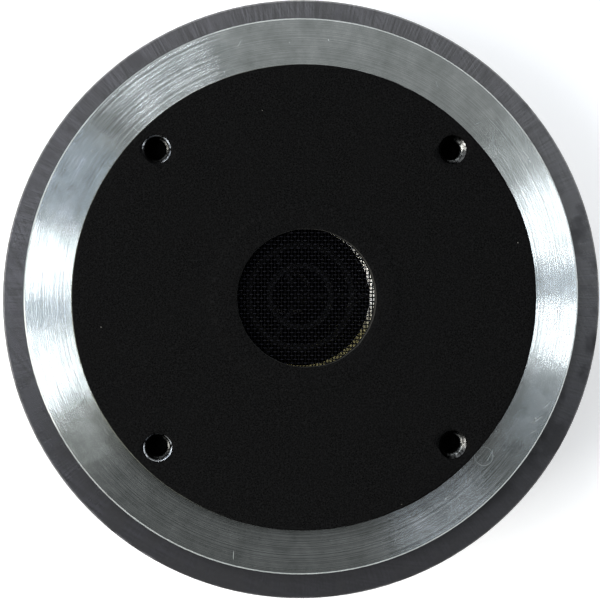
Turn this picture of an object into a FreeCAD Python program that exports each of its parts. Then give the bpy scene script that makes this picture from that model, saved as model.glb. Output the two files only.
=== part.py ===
import FreeCAD, Part
import math
import os

# Compression driver with a four-bolt throat face, lying on its rear cover with the throat up.
# Millimetres. The origin is the centre of the machined mounting face; +Z points out of the throat.

# Mounting face
bolt_circle_diameter = 101.6
bolt_count = 4
first_bolt_angle = 45.0
bolt_thread_diameter = 6.0
bolt_countersink = 0.15
flange_diameter = 136.4
flange_rim_height = 5.0
flange_edge_chamfer = 0.3
boss_height = 5.0
boss_margin = 0.1
boss_edge_chamfer = 0.2

# Foam gasket on the mounting face
gasket_diameter = 113.0
gasket_thickness = 1.5
gasket_hole_clearance = 0.5
gasket_throat_overhang = 1.1
gasket_slope_width = 1.2

# Screen across the throat
screen_diameter = 44.0
screen_thickness = 0.6
screen_recess_depth = 0.3
screen_fit = 0.2
screen_bar = 0.9
screen_gap = 2.4

# Throat and phase plug
throat_mouth_diameter = 35.6
throat_inner_diameter = 34.6
throat_length = 14.0
plug_seat_wall = 3.7
plug_slot_count = 3
plug_slot_at_dome = 1.2
plug_wall_at_throat = 1.4
plug_web_count = 3
plug_web_thickness = 1.2
plug_web_setback = 3.0
plug_web_length = 6.0
bullet_throat_radius = 3.2
bullet_tip_length = 8.0
bullet_tip_bulge = 0.6

# Magnet circuit
magnet_diameter = 148.2
magnet_bore_clearance = 5.3
magnet_height = 18.0
magnet_chamfer = 0.4
magnet_shift_x = 0.6
magnet_shift_y = -0.9
pole_diameter = 73.4
pole_root_fillet = 1.5
sleeve_thickness = 0.5
top_plate_margin = 2.0
top_plate_thickness = 8.0
top_plate_chamfer = 0.8

# Voice coil and diaphragm
former_clearance = 0.3
former_thickness = 0.3
winding_thickness = 0.6
winding_height = 4.0
winding_clearance = 0.4
former_tail = 1.0
dome_height = 15.0
dome_thickness = 0.3
compression_gap = 0.8
surround_thickness = 0.25
surround_lip = 0.6
surround_roll_width = 3.0
surround_seat_width = 5.0

# Diaphragm ring, its screws and its locating pins
ring_thickness = 2.0
ring_rim_width = 7.2
ring_roll_clearance = 0.4
ring_fixing_inset = 3.5
ring_screw_count = 4
ring_screw_diameter = 3.0
ring_screw_depth = 6.0
ring_screw_head_height = 1.8
ring_screw_socket = 2.0
pin_count = 2
pin_diameter = 3.0
pin_depth = 5.0
pin_stand = 1.5
screw_hole_clearance = 0.2
screw_thread_clearance = 0.05
screw_tip_clearance = 0.8

# Rear cover, its gasket, its screws and the foam in it
cover_wall = 4.0
cover_floor = 3.0
cover_draft = 1.5
cover_edge_fillet = 5.0
cover_root_fillet = 1.5
cover_flange_width = 11.5
cover_flange_thickness = 5.0
cover_recess_depth = 0.8
cover_foot_width = 9.0
cover_register = 0.5
cover_screw_count = 6
cover_screw_diameter = 4.0
cover_screw_depth = 6.5
cover_screw_head_height = 4.0
cover_screw_socket = 3.0
cover_screw_inset = 3.6
rear_gasket_thickness = 0.5
pad_thickness = 3.5
pad_margin = 4.0
dome_rear_clearance = 3.2

# Terminals in the side of the rear cover
blade_width = 6.3
blade_thickness = 0.8
blade_length = 8.0
blade_spacing = 16.0
blade_hole_diameter = 1.8
blade_nose_taper = 1.2
contact_thickness = 0.4
contact_length = 8.5
contact_step_clearance = 0.3
terminal_base_width = 30.0
terminal_base_height = 9.0
terminal_base_stand = 3.0
terminal_base_fit = 0.1
terminal_height_share = 0.5

# Levels, from the mounting face down to the rear
gasket_rise = screen_thickness - screen_recess_depth
plate_bottom = -(boss_height + flange_rim_height)
magnet_bottom = plate_bottom - magnet_height
gap_bottom = magnet_bottom - top_plate_thickness
ring_bottom = gap_bottom - ring_thickness
surround_bottom = ring_bottom - surround_thickness
plug_top = -throat_length
cavity_depth = ring_thickness + dome_height + dome_rear_clearance + pad_thickness
cover_seat = gap_bottom - rear_gasket_thickness
cavity_floor = gap_bottom - cavity_depth
cover_bottom = cavity_floor - cover_floor
cover_flange_bottom = cover_seat - cover_flange_thickness

# Radii, from the axis outwards
bolt_circle = bolt_circle_diameter / 2
bolt_hole = bolt_thread_diameter / 2
throat_mouth = throat_mouth_diameter / 2
throat_inner = throat_inner_diameter / 2
screen_radius = screen_diameter / 2
screen_recess = screen_radius + screen_fit
gasket_radius = gasket_diameter / 2
boss_radius = gasket_radius + boss_margin
flange_radius = flange_diameter / 2
pole_radius = pole_diameter / 2
plug_radius = pole_radius - plug_seat_wall
magnet_bore = pole_radius + magnet_bore_clearance
sleeve_radius = pole_radius + sleeve_thickness
former_inner = sleeve_radius + former_clearance
former_outer = former_inner + former_thickness
winding_outer = former_outer + winding_thickness
gap_radius = winding_outer + winding_clearance
roll_inner = former_outer + surround_lip
roll_outer = roll_inner + surround_roll_width
ring_inner = roll_outer + ring_roll_clearance
surround_outer = ring_inner + surround_seat_width
ring_outer = surround_outer + ring_rim_width
cover_inner = ring_outer + cover_register
ring_fixing = ring_outer - ring_fixing_inset
cover_outer = cover_inner + cover_wall
cover_flange = cover_inner + cover_flange_width
top_plate_radius = cover_flange + top_plate_margin
cover_screw_circle = cover_flange - cover_screw_inset
magnet_place = FreeCAD.Vector(magnet_shift_x, magnet_shift_y, 0)

# The dome is part of a sphere, and the plug's rear face follows the same centre
dome_sphere = (former_outer ** 2 + dome_height ** 2) / (2 * dome_height)
dome_centre = ring_bottom - dome_height + dome_sphere
plug_sphere = dome_sphere - dome_thickness - compression_gap


def turned(points):
    """A turned solid about the axis, from a closed outline of (radius, height) points."""
    corners = [FreeCAD.Vector(radius, 0, height) for radius, height in points]
    face = Part.Face(Part.makePolygon(corners + corners[:1]))
    return face.revolve(FreeCAD.Vector(0, 0, 0), FreeCAD.Vector(0, 0, 1), 360)


def washer(inner, outer, bottom, top):
    """A plain ring between two heights."""
    return turned([(inner, bottom), (outer, bottom), (outer, top), (inner, top)])


def rod(radius, bottom, top, x=0.0, y=0.0):
    """A round bar standing at (x, y)."""
    return Part.makeCylinder(radius, top - bottom, FreeCAD.Vector(x, y, bottom))


def ball(radius, height):
    """A full sphere on the axis."""
    return Part.makeSphere(radius, FreeCAD.Vector(0, 0, height))


def block(x0, x1, y0, y1, z0, z1):
    """A box between two corners."""
    return Part.makeBox(x1 - x0, y1 - y0, z1 - z0, FreeCAD.Vector(x0, y0, z0))


def around(count, radius, first_angle=0.0):
    """Evenly spaced (x, y) places on a circle."""
    angles = [math.radians(first_angle + 360.0 * i / count) for i in range(count)]
    return [(radius * math.cos(a), radius * math.sin(a)) for a in angles]


def circles_at(solid, places):
    """The solid's round edges that lie at the given (radius, height) places."""
    found = []
    for edge in solid.Edges:
        if isinstance(edge.Curve, Part.Circle):
            for radius, height in places:
                same_radius = abs(edge.Curve.Radius - radius) < 1e-6
                if same_radius and abs(edge.Curve.Center.z - height) < 1e-6:
                    found.append(edge)
    return found


def hexagon(across_flats, bottom, top, x, y):
    """A hexagonal prism for a key socket."""
    corner = across_flats / math.sqrt(3)
    points = [FreeCAD.Vector(x + px, y + py, bottom) for px, py in around(6, corner)]
    face = Part.Face(Part.makePolygon(points + points[:1]))
    return face.extrude(FreeCAD.Vector(0, 0, top - bottom))


def cap_screw(diameter, head_height, socket, seat, tip, x, y):
    """A socket screw put in from the rear: its head sits below the seat, its shank runs up to the tip."""
    head_radius = diameter * 0.875
    head = rod(head_radius, seat - head_height, seat, x, y)
    rim = [e for e in head.Edges if isinstance(e.Curve, Part.Circle) and e.Curve.Center.z < seat - 1e-6]
    head = head.makeChamfer(head_height * 0.1, rim)
    head = head.cut(hexagon(socket, seat - head_height, seat - head_height * 0.45, x, y))
    return head.fuse(rod(diameter / 2, seat, tip, x, y)).removeSplitter()


def plug_lines():
    """For each slot of the plug: its (throat radius, dome radius, dome height) inside and outside."""
    walls = (plug_slot_count - 1) * plug_wall_at_throat
    slot_at_throat = (throat_inner - bullet_throat_radius - walls) / plug_slot_count
    lines = []
    for i in range(plug_slot_count):
        inside = bullet_throat_radius + i * (slot_at_throat + plug_wall_at_throat)
        middle = plug_radius * (i + 0.5) / plug_slot_count
        depth = dome_centre - math.sqrt(plug_sphere ** 2 - middle ** 2)
        inner_line = (inside, middle - plug_slot_at_dome / 2, depth)
        outer_line = (inside + slot_at_throat, middle + plug_slot_at_dome / 2, depth)
        lines.append((inner_line, outer_line))
    return lines


def run_on(line, height):
    """Where a slot's wall, carried on in a straight line, crosses a height."""
    throat_radius, dome_radius, depth = line
    return throat_radius + (dome_radius - throat_radius) * (plug_top - height) / (plug_top - depth)


def plug_ring(inside, outside):
    """The part of the plug between two slot walls, with the dome's shape on its rear face."""
    behind = dome_centre - plug_sphere - 1.0
    outline = [(inside[0], plug_top), (run_on(inside, behind), behind)]
    outline += [(run_on(outside, behind), behind), (outside[0], plug_top)]
    return turned(outline).common(ball(plug_sphere, dome_centre))


def plug_webs(slot_inner, slot_outer):
    """The short radial webs that bridge one slot and hold the next ring in line."""
    top = plug_top - plug_web_setback
    half = plug_web_thickness / 2
    spoke = block(0, plug_radius, -half, half, top - plug_web_length, top)
    slot = plug_ring(slot_inner, slot_outer)
    webs = []
    for i in range(plug_web_count):
        turned_spoke = spoke.copy()
        turned_spoke.rotate(FreeCAD.Vector(0, 0, 0), FreeCAD.Vector(0, 0, 1), 360.0 * i / plug_web_count)
        webs.append(turned_spoke.common(slot))
    return webs


def mounting_gasket():
    opening = throat_mouth - gasket_throat_overhang
    top = gasket_thickness
    slope = screen_recess + gasket_slope_width
    outline = [(opening, gasket_rise), (screen_recess, gasket_rise), (screen_recess, 0)]
    outline += [(gasket_radius, 0), (gasket_radius, top), (slope, top)]
    outline += [(screen_recess, top + gasket_rise), (opening, top + gasket_rise)]
    gasket = turned(outline)
    for x, y in around(bolt_count, bolt_circle, first_bolt_angle):
        gasket = gasket.cut(rod(bolt_hole + gasket_hole_clearance, -1, top + 1, x, y))
    return gasket


def throat_screen():
    bottom = -screen_recess_depth
    top = bottom + screen_thickness
    disc = rod(screen_radius, bottom, top)
    pitch = screen_gap + screen_bar
    reach = throat_mouth - screen_bar
    steps = int(reach / pitch) + 1
    holes = []
    for i in range(-steps, steps + 1):
        for j in range(-steps, steps + 1):
            x, y = i * pitch, j * pitch
            if math.hypot(abs(x) + screen_gap / 2, abs(y) + screen_gap / 2) < reach:
                half = screen_gap / 2
                holes.append(block(x - half, x + half, y - half, y + half, bottom - 1, top + 1))
    return disc.cut(holes)


def pole_yoke():
    recess = -screen_recess_depth
    chamfer = flange_edge_chamfer
    boss_face = boss_radius - boss_edge_chamfer
    outline = [(throat_mouth, recess), (screen_recess, recess), (screen_recess, 0)]
    outline += [(boss_face, 0), (boss_radius, -boss_edge_chamfer), (boss_radius, -boss_height)]
    outline += [(flange_radius - chamfer, -boss_height), (flange_radius, -boss_height - chamfer)]
    outline += [(flange_radius, plate_bottom), (pole_radius, plate_bottom), (pole_radius, gap_bottom)]
    outline += [(plug_radius, gap_bottom), (plug_radius, plug_top), (throat_inner, plug_top)]
    yoke = turned(outline)
    yoke = yoke.makeFillet(pole_root_fillet, circles_at(yoke, [(pole_radius, plate_bottom)]))
    for x, y in around(bolt_count, bolt_circle, first_bolt_angle):
        yoke = yoke.cut(rod(bolt_hole, plate_bottom - 1, 1, x, y))
        mouth = Part.makeCone(bolt_hole, bolt_hole + bolt_countersink, bolt_countersink)
        mouth.translate(FreeCAD.Vector(x, y, -bolt_countersink))
        yoke = yoke.cut(mouth)
    return yoke


def ferrite_magnet():
    outer = magnet_diameter / 2
    magnet = washer(magnet_bore, outer, magnet_bottom, plate_bottom)
    rims = circles_at(magnet, [(outer, magnet_bottom), (outer, plate_bottom)])
    magnet = magnet.makeChamfer(magnet_chamfer, rims)
    magnet.translate(magnet_place)
    return magnet


def shorting_sleeve():
    return washer(pole_radius, sleeve_radius, gap_bottom, magnet_bottom)


def top_plate():
    plate = washer(gap_radius, top_plate_radius, gap_bottom, magnet_bottom)
    rims = circles_at(plate, [(top_plate_radius, gap_bottom), (top_plate_radius, magnet_bottom)])
    plate = plate.makeChamfer(top_plate_chamfer, rims)
    holes = []
    screw_hole = cover_screw_diameter / 2 + screw_thread_clearance
    for x, y in around(cover_screw_count, cover_screw_circle):
        tip = gap_bottom + cover_screw_depth + screw_tip_clearance
        holes.append(rod(screw_hole, gap_bottom - 1, tip, x, y))
    screw_hole = ring_screw_diameter / 2 + screw_thread_clearance
    for x, y in around(ring_screw_count, ring_fixing, first_bolt_angle):
        tip = gap_bottom + ring_screw_depth + screw_tip_clearance
        holes.append(rod(screw_hole, gap_bottom - 1, tip, x, y))
    for x, y in around(pin_count, ring_fixing):
        holes.append(rod(pin_diameter / 2, gap_bottom - 1, gap_bottom + pin_depth, x, y))
    return plate.cut(holes)


def plug_pieces():
    """The four pieces of the phase plug, from the middle outwards."""
    lines = plug_lines()
    behind = dome_centre - plug_sphere - 1.0
    shoulder = lines[0][0]
    tip = FreeCAD.Vector(0, 0, plug_top + bullet_tip_length)
    neck = FreeCAD.Vector(shoulder[0], 0, plug_top)
    chord = (neck - tip).normalize()
    outwards = FreeCAD.Vector(-chord.z, 0, chord.x)
    bulge = (tip + neck) * 0.5 + outwards * bullet_tip_bulge
    rear = FreeCAD.Vector(run_on(shoulder, behind), 0, behind)
    axis_end = FreeCAD.Vector(0, 0, behind)
    edges = [Part.Arc(tip, bulge, neck).toShape(), Part.makeLine(neck, rear)]
    edges += [Part.makeLine(rear, axis_end), Part.makeLine(axis_end, tip)]
    face = Part.Face(Part.Wire(edges))
    bullet = face.revolve(FreeCAD.Vector(0, 0, 0), FreeCAD.Vector(0, 0, 1), 360)
    pieces = [bullet.common(ball(plug_sphere, dome_centre))]
    for i in range(1, plug_slot_count):
        pieces.append(plug_ring(lines[i - 1][1], lines[i][0]))
    depth = lines[-1][1][2]
    seat = (plug_radius, plug_radius, depth)
    pieces.append(plug_ring(lines[-1][1], seat))
    for i, (inner_line, outer_line) in enumerate(lines):
        pieces[i] = pieces[i].fuse(plug_webs(inner_line, outer_line)).removeSplitter()
    return pieces


def voice_coil_former():
    top = (magnet_bottom + gap_bottom + winding_height) / 2 + former_tail
    return washer(former_inner, former_outer, ring_bottom, top)


def voice_coil_winding():
    middle = (magnet_bottom + gap_bottom) / 2
    half = winding_height / 2
    return washer(former_outer, winding_outer, middle - half, middle + half)


def diaphragm_dome():
    shell = ball(dome_sphere, dome_centre).cut(ball(dome_sphere - dome_thickness, dome_centre))
    apex = dome_centre - dome_sphere
    return shell.common(rod(former_outer + 1, apex - 1, ring_bottom))


def diaphragm_surround():
    """A flat film ring with one half roll, glued to the dome's edge and to the diaphragm ring."""
    flat = washer(former_outer, surround_outer, surround_bottom, ring_bottom)
    middle = (roll_inner + roll_outer) / 2
    radius = surround_roll_width / 2
    centre = FreeCAD.Vector(middle, 0, ring_bottom)
    up = FreeCAD.Vector(0, 1, 0)
    outer_disc = Part.Face(Part.Wire(Part.makeCircle(radius + surround_thickness, centre, up)))
    inner_disc = Part.Face(Part.Wire(Part.makeCircle(radius, centre, up)))
    whole = outer_disc.revolve(FreeCAD.Vector(0, 0, 0), FreeCAD.Vector(0, 0, 1), 360)
    hollow = inner_disc.revolve(FreeCAD.Vector(0, 0, 0), FreeCAD.Vector(0, 0, 1), 360)
    below = washer(former_outer, surround_outer, ring_bottom - 2 * surround_roll_width, ring_bottom)
    return flat.fuse(whole.common(below)).cut(hollow).removeSplitter()


def diaphragm_ring():
    ring = washer(ring_inner, ring_outer, ring_bottom, gap_bottom)
    hole = ring_screw_diameter / 2 + screw_hole_clearance
    holes = [rod(hole, ring_bottom - 1, gap_bottom + 1, x, y)
             for x, y in around(ring_screw_count, ring_fixing, first_bolt_angle)]
    holes += [rod(pin_diameter / 2, ring_bottom - 1, gap_bottom + 1, x, y)
              for x, y in around(pin_count, ring_fixing)]
    return ring.cut(holes)


def diaphragm_screws():
    tip = gap_bottom + ring_screw_depth
    return [cap_screw(ring_screw_diameter, ring_screw_head_height, ring_screw_socket, ring_bottom, tip, x, y)
            for x, y in around(ring_screw_count, ring_fixing, first_bolt_angle)]


def locating_pins():
    bottom = ring_bottom - pin_stand
    pins = []
    for x, y in around(pin_count, ring_fixing):
        pin = rod(pin_diameter / 2, bottom, gap_bottom + pin_depth, x, y)
        pins.append(pin.makeChamfer(pin_diameter * 0.1, pin.Edges[:1] + pin.Edges[2:]))
    return pins


def terminal_levels():
    """The middle height of the blades, part of the way down the rear cover's side."""
    return cover_flange_bottom + (cover_bottom - cover_flange_bottom) * terminal_height_share


def terminal_window(fit):
    """The space that the terminal base fills in the cover's side, with a fit all round."""
    half = terminal_base_width / 2 + fit
    level = terminal_levels()
    high = terminal_base_height / 2 + fit
    reach = cover_outer + terminal_base_stand
    return block(-half, half, -reach, -cover_inner * math.cos(math.asin(half / cover_inner)),
                 level - high, level + high)


def rear_gasket():
    ring = washer(cover_inner, cover_flange, cover_seat, gap_bottom)
    hole = cover_screw_diameter / 2 + screw_hole_clearance
    holes = [rod(hole, cover_seat - 1, gap_bottom + 1, x, y)
             for x, y in around(cover_screw_count, cover_screw_circle)]
    return ring.cut(holes)


def rear_cover():
    """A moulded cup: drafted wall, flat floor with a shallow recess, and a flange for the screws."""
    drafted = cover_outer - cover_draft
    outline = [(cover_inner, cover_seat), (cover_flange, cover_seat), (cover_flange, cover_flange_bottom)]
    outline += [(cover_outer, cover_flange_bottom), (drafted, cover_bottom)]
    outline += [(0, cover_bottom), (0, cavity_floor), (cover_inner, cavity_floor)]
    cover = turned(outline)
    cover = cover.makeFillet(cover_edge_fillet, circles_at(cover, [(drafted, cover_bottom)]))
    roots = [(cover_outer, cover_flange_bottom), (cover_inner, cavity_floor)]
    cover = cover.makeFillet(cover_root_fillet, circles_at(cover, roots))
    rims = circles_at(cover, [(cover_flange, cover_flange_bottom)])
    cover = cover.makeChamfer(cover_root_fillet / 2, rims)
    recess = drafted - cover_edge_fillet - cover_foot_width
    cover = cover.cut(rod(recess, cover_bottom - 1, cover_bottom + cover_recess_depth))
    hole = cover_screw_diameter / 2 + screw_hole_clearance
    spot = cover_screw_diameter * 0.875 + screw_hole_clearance
    for x, y in around(cover_screw_count, cover_screw_circle):
        cover = cover.cut(rod(hole, cover_flange_bottom - 1, cover_seat + 1, x, y))
        relief = rod(spot, cover_flange_bottom - cover_screw_head_height - 1, cover_flange_bottom, x, y)
        cover = cover.cut(relief)
    return cover.cut(terminal_window(terminal_base_fit))


def damping_pad():
    radius = cover_inner - pad_margin
    pad = rod(radius, cavity_floor, cavity_floor + pad_thickness)
    return pad.makeChamfer(pad_thickness * 0.2, circles_at(pad, [(radius, cavity_floor + pad_thickness)]))


def blade_slot(side):
    """The straight flat strip of one terminal, from inside the cover to the tip of the blade."""
    middle = side * blade_spacing / 2
    level = terminal_levels()
    half = blade_width / 2
    tip = cover_outer + terminal_base_stand + blade_length
    inside = ring_fixing
    return block(middle - half, middle + half, -tip, -inside, level - blade_thickness / 2,
                 level + blade_thickness / 2)


def terminal(side):
    """A flat push-on blade whose tail turns up inside the cover to meet its contact strip."""
    strip = blade_slot(side)
    middle = side * blade_spacing / 2
    level = terminal_levels()
    tip = cover_outer + terminal_base_stand + blade_length
    half = blade_width / 2
    low, high = level - blade_thickness / 2, level + blade_thickness / 2
    nose = []
    for edge in strip.Edges:
        middle_of_edge = edge.CenterOfMass
        upright = abs(middle_of_edge.z - level) < 1e-6
        if upright and abs(middle_of_edge.y + tip) < 1e-6:
            nose.append(edge)
    strip = strip.makeChamfer(blade_nose_taper, nose)
    hole_place = -(tip - blade_length * 0.4)
    strip = strip.cut(rod(blade_hole_diameter / 2, low - 1, high + 1, middle, hole_place))
    tail_outer = -ring_fixing
    tail = block(middle - half, middle + half, tail_outer - blade_thickness, tail_outer, low,
                 surround_bottom - contact_thickness)
    return strip.fuse(tail).removeSplitter()


def terminal_base():
    base = terminal_window(0.0)
    return base.cut([blade_slot(-1), blade_slot(1)])


def contact_strips():
    """Two flat strips on the diaphragm ring, from the edge of the roll out to the terminals' tails."""
    strips = []
    half = blade_width / 2
    outer = -(ring_fixing + blade_thickness)
    for side in (-1, 1):
        middle = side * blade_spacing / 2
        lead = block(middle - half, middle + half, outer, outer + contact_length,
                     surround_bottom - contact_thickness, surround_bottom)
        step = block(middle - half, middle + half, outer, -ring_inner, surround_bottom, ring_bottom)
        step = step.cut(rod(surround_outer + contact_step_clearance, surround_bottom - 1, ring_bottom + 1))
        strips.append(lead.fuse(step).removeSplitter())
    return strips


def cover_screws():
    tip = gap_bottom + cover_screw_depth
    return [cap_screw(cover_screw_diameter, cover_screw_head_height, cover_screw_socket,
                      cover_flange_bottom, tip, x, y)
            for x, y in around(cover_screw_count, cover_screw_circle)]


def save(name, shape):
    """One file for each sub-part; a list of solids becomes one group."""
    if isinstance(shape, list):
        shape = Part.makeCompound(shape)
    shape.exportStep(f"parts/{name}.step")


os.makedirs("parts", exist_ok=True)
save("mounting_gasket", mounting_gasket())
save("throat_screen", throat_screen())
save("pole_yoke", pole_yoke())
save("ferrite_magnet", ferrite_magnet())
save("shorting_sleeve", shorting_sleeve())
save("top_plate", top_plate())
plug_names = ["plug_bullet"] + [f"plug_ring_{i}" for i in range(1, plug_slot_count)] + ["plug_outer_ring"]
for plug_name, plug_piece in zip(plug_names, plug_pieces()):
    save(plug_name, plug_piece)
save("voice_coil_former", voice_coil_former())
save("voice_coil_winding", voice_coil_winding())
save("diaphragm_dome", diaphragm_dome())
save("diaphragm_surround", diaphragm_surround())
save("diaphragm_ring", diaphragm_ring())
save("diaphragm_screws", diaphragm_screws())
save("locating_pins", locating_pins())
save("contact_strips", contact_strips())
save("rear_gasket", rear_gasket())
save("rear_cover", rear_cover())
save("damping_pad", damping_pad())
save("terminal_base", terminal_base())
save("terminal_positive", terminal(1))
save("terminal_negative", terminal(-1))
save("cover_screws", cover_screws())
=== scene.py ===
import math

import bpy
from mathutils import Matrix, Quaternion, Vector, noise


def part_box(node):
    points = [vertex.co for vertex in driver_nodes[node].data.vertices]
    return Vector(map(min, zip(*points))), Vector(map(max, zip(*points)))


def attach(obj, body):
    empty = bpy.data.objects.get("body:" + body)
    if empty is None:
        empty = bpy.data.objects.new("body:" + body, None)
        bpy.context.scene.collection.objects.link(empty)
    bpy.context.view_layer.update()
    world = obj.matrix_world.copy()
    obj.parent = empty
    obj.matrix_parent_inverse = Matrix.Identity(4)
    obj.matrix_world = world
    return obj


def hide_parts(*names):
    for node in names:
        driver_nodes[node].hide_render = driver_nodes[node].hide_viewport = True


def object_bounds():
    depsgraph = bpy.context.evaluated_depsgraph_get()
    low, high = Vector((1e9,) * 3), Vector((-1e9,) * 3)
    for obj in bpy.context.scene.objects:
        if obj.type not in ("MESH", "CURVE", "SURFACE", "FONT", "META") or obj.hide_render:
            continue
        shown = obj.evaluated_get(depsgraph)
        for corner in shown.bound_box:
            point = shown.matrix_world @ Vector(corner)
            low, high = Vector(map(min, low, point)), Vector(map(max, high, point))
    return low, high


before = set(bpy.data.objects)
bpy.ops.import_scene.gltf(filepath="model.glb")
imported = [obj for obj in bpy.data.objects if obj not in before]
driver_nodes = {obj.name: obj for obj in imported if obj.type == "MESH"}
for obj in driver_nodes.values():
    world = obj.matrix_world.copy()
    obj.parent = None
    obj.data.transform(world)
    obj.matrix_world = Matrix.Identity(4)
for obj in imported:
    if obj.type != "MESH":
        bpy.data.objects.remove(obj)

cad_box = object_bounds()

# Pole and throat plate: one turned steel part, zinc plated. The tool leaves grooves round the axis,
# so each light draws a pair of narrow wedges across the flat land, as on a turned disc. Where the tool
# chattered the grooves show as long lines. The throat's wall is painted paler as painted light, and
# painted yellow on one side as painted warm light.
MM = 0.001
ZINC_PLATE = "d3d8d7"
# Painted light: the throat's wall is painted near white, and yellow on its lower side as warm light.
BORE_PAINTED_LIGHT = "fafaf8"
BORE_PAINTED_WARM_LIGHT = "cfc48c"
# Pitch of each set of grooves, and how far it tips the surface.
GROOVE_BANDS = [(0.9 * MM, 0.02), (0.4 * MM, 0.04), (0.16 * MM, 0.32)]
TINT_SIZE = 6 * MM
LINE_PITCH = 0.55 * MM
SPECK_SPACING = 3.2 * MM
COVERED_ABOVE = -0.02 * MM
BORE_REACH = 19 * MM
BORE_TOP = -0.35 * MM
BOSS_REACH = 56.75 * MM
BOSS_FOOT = -4.8 * MM
LAND_FOOT = -5.4 * MM
HAZE_MIDDLE = (-53.5 * MM, -34.7 * MM, -5 * MM)
HAZE_RADIUS = 5.9 * MM
DROP_MIDDLE = (44.6 * MM, -39.5 * MM, -5 * MM)
DROP_RADIUS = 2.3 * MM
CHATTER_AZIMUTH = math.radians(124)
BOLT_CIRCLE = 50.8 * MM
BOLT_OFFSET = BOLT_CIRCLE * math.cos(math.radians(45))
HOLE_ZONE = 3.6 * MM
# Directions that set where painted shade falls round the bolt holes.
HOLE_SHADE_SLOPE = (0.95, -0.3, 0)
UPPER_HOLE_SHADE_SLOPE = (0.6, 0.8, 0)
FACE_SCRATCHES = [
    # middle x, middle y, length, width and lean of each scratch or nick, in mm and degrees
    (-17.4, -63.2, 2.8, 0.22, 88.0),
    (46.9, 38.6, 6.2, 0.20, 93.0),
    (49.6, 46.6, 0.7, 0.5, 40.0),
    (55.8, 33.8, 0.6, 0.45, 10.0),
    (57.6, -30.2, 0.7, 0.5, 70.0),
    (56.3, 38.2, 1.0, 0.5, 45.0),
    (46.2, -39.3, 4.0, 0.16, 60.0),
    (58.2, -30.4, 5.0, 0.14, 32.0),
    (60.6, -26.8, 3.6, 0.12, 48.0),
    (57.0, -33.6, 2.6, 0.12, 15.0),
    (-63.6, -1.2, 3.6, 0.14, 62.0),
    (-62.0, -5.6, 2.8, 0.12, 75.0),
    (43.0, 42.6, 2.2, 0.14, 20.0),
    (33.0, 52.2, 2.4, 0.12, 110.0),
    (-15.5, 62.0, 3.0, 0.12, 60.0),
]


def colour(code):
    """A colour written as sRGB hex, in the linear values that the renderer takes."""
    shares = [int(code[i:i + 2], 16) / 255 for i in (0, 2, 4)]
    linear = [s / 12.92 if s <= 0.04045 else ((s + 0.055) / 1.055) ** 2.4 for s in shares]
    return (*linear, 1.0)


def add(tree, kind, inputs=(), **settings):
    """Adds a node with its settings; each input takes a value, a socket or another node's output."""
    made = tree.nodes.new("ShaderNode" + kind)
    for name, value in settings.items():
        setattr(made, name, value)
    for key, value in dict(inputs).items():
        if isinstance(key, int):
            socket = made.inputs[key]
        else:
            socket = next(s for s in made.inputs if s.name == key and s.enabled)
        if isinstance(value, bpy.types.Node):
            value = next(s for s in value.outputs if s.enabled)
        if isinstance(value, bpy.types.NodeSocket):
            tree.links.new(value, socket)
        else:
            socket.default_value = value
    return made


def new_finish(name):
    """An empty material with its node tree, and the point that is being coloured."""
    made = bpy.data.materials.new(name)
    made.use_nodes = True
    made.node_tree.nodes.clear()
    return made, made.node_tree, add(made.node_tree, "TexCoord").outputs["Object"]


def close_finish(tree, shader):
    """Ends a material's tree with its output."""
    add(tree, "OutputMaterial", {"Surface": shader})


def wear(node_name, finish):
    """Gives a node of the frame its finish."""
    holder = driver_nodes[node_name]
    if not holder.material_slots:
        holder.data.materials.append(finish)
    for slot in holder.material_slots:
        slot.material = finish


def turned_normal(tree, spot, bands):
    """The surface's normal, tipped towards and away from the axis by grooves of the given pitches."""
    flat = add(tree, "VectorMath", {0: spot, 1: (1, 1, 0)}, operation="MULTIPLY")
    radius = add(tree, "VectorMath", {0: flat}, operation="LENGTH").outputs["Value"]
    outwards = add(tree, "VectorMath", {0: flat}, operation="NORMALIZE")
    slope = 0.0
    for pitch, depth in bands:
        groove = add(tree, "TexNoise", {"W": radius, "Scale": 1 / pitch, "Detail": 2.0},
                     noise_dimensions="1D")
        part = add(tree, "Math", {0: groove, 1: -0.5}, operation="ADD")
        slope = add(tree, "Math", {0: part, 1: depth, 2: slope}, operation="MULTIPLY_ADD")
    tip = add(tree, "VectorMath", {0: outwards, "Scale": slope}, operation="SCALE")
    surface = add(tree, "NewGeometry").outputs["Normal"]
    tipped = add(tree, "VectorMath", {0: surface, 1: tip}, operation="ADD")
    return add(tree, "VectorMath", {0: tipped}, operation="NORMALIZE"), radius


def around_holes(tree, spot):
    """The way out from the nearest bolt hole's axis and its length, whether the hole is on the right, and
    the share of its wall that is left clear of the painted shade laid on the hole's left side."""
    flat = add(tree, "VectorMath", {0: spot, 1: (1, 1, 0)}, operation="MULTIPLY")
    quarter = add(tree, "VectorMath", {0: flat}, operation="SIGN")
    axis = add(tree, "VectorMath", {0: quarter, "Scale": BOLT_OFFSET}, operation="SCALE")
    out = add(tree, "VectorMath", {0: flat, 1: axis}, operation="SUBTRACT")
    reach = add(tree, "VectorMath", {0: out}, operation="LENGTH").outputs["Value"]
    way = add(tree, "VectorMath", {0: out}, operation="NORMALIZE")
    turned_right = add(tree, "VectorMath", {0: way, 1: HOLE_SHADE_SLOPE}, operation="DOT_PRODUCT")
    clear = add(tree, "MapRange", {"Value": turned_right.outputs["Value"], "From Min": -0.1,
                                   "From Max": 0.5})
    side = add(tree, "SeparateXYZ", {0: quarter}).outputs["X"]
    right = add(tree, "Math", {0: side, 1: 0.0}, operation="GREATER_THAN")
    return way, reach, right, clear


turned_zinc, tree, spot = new_finish("zinc_plated_turned_steel")
grooved, radius = turned_normal(tree, spot, GROOVE_BANDS)

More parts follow.
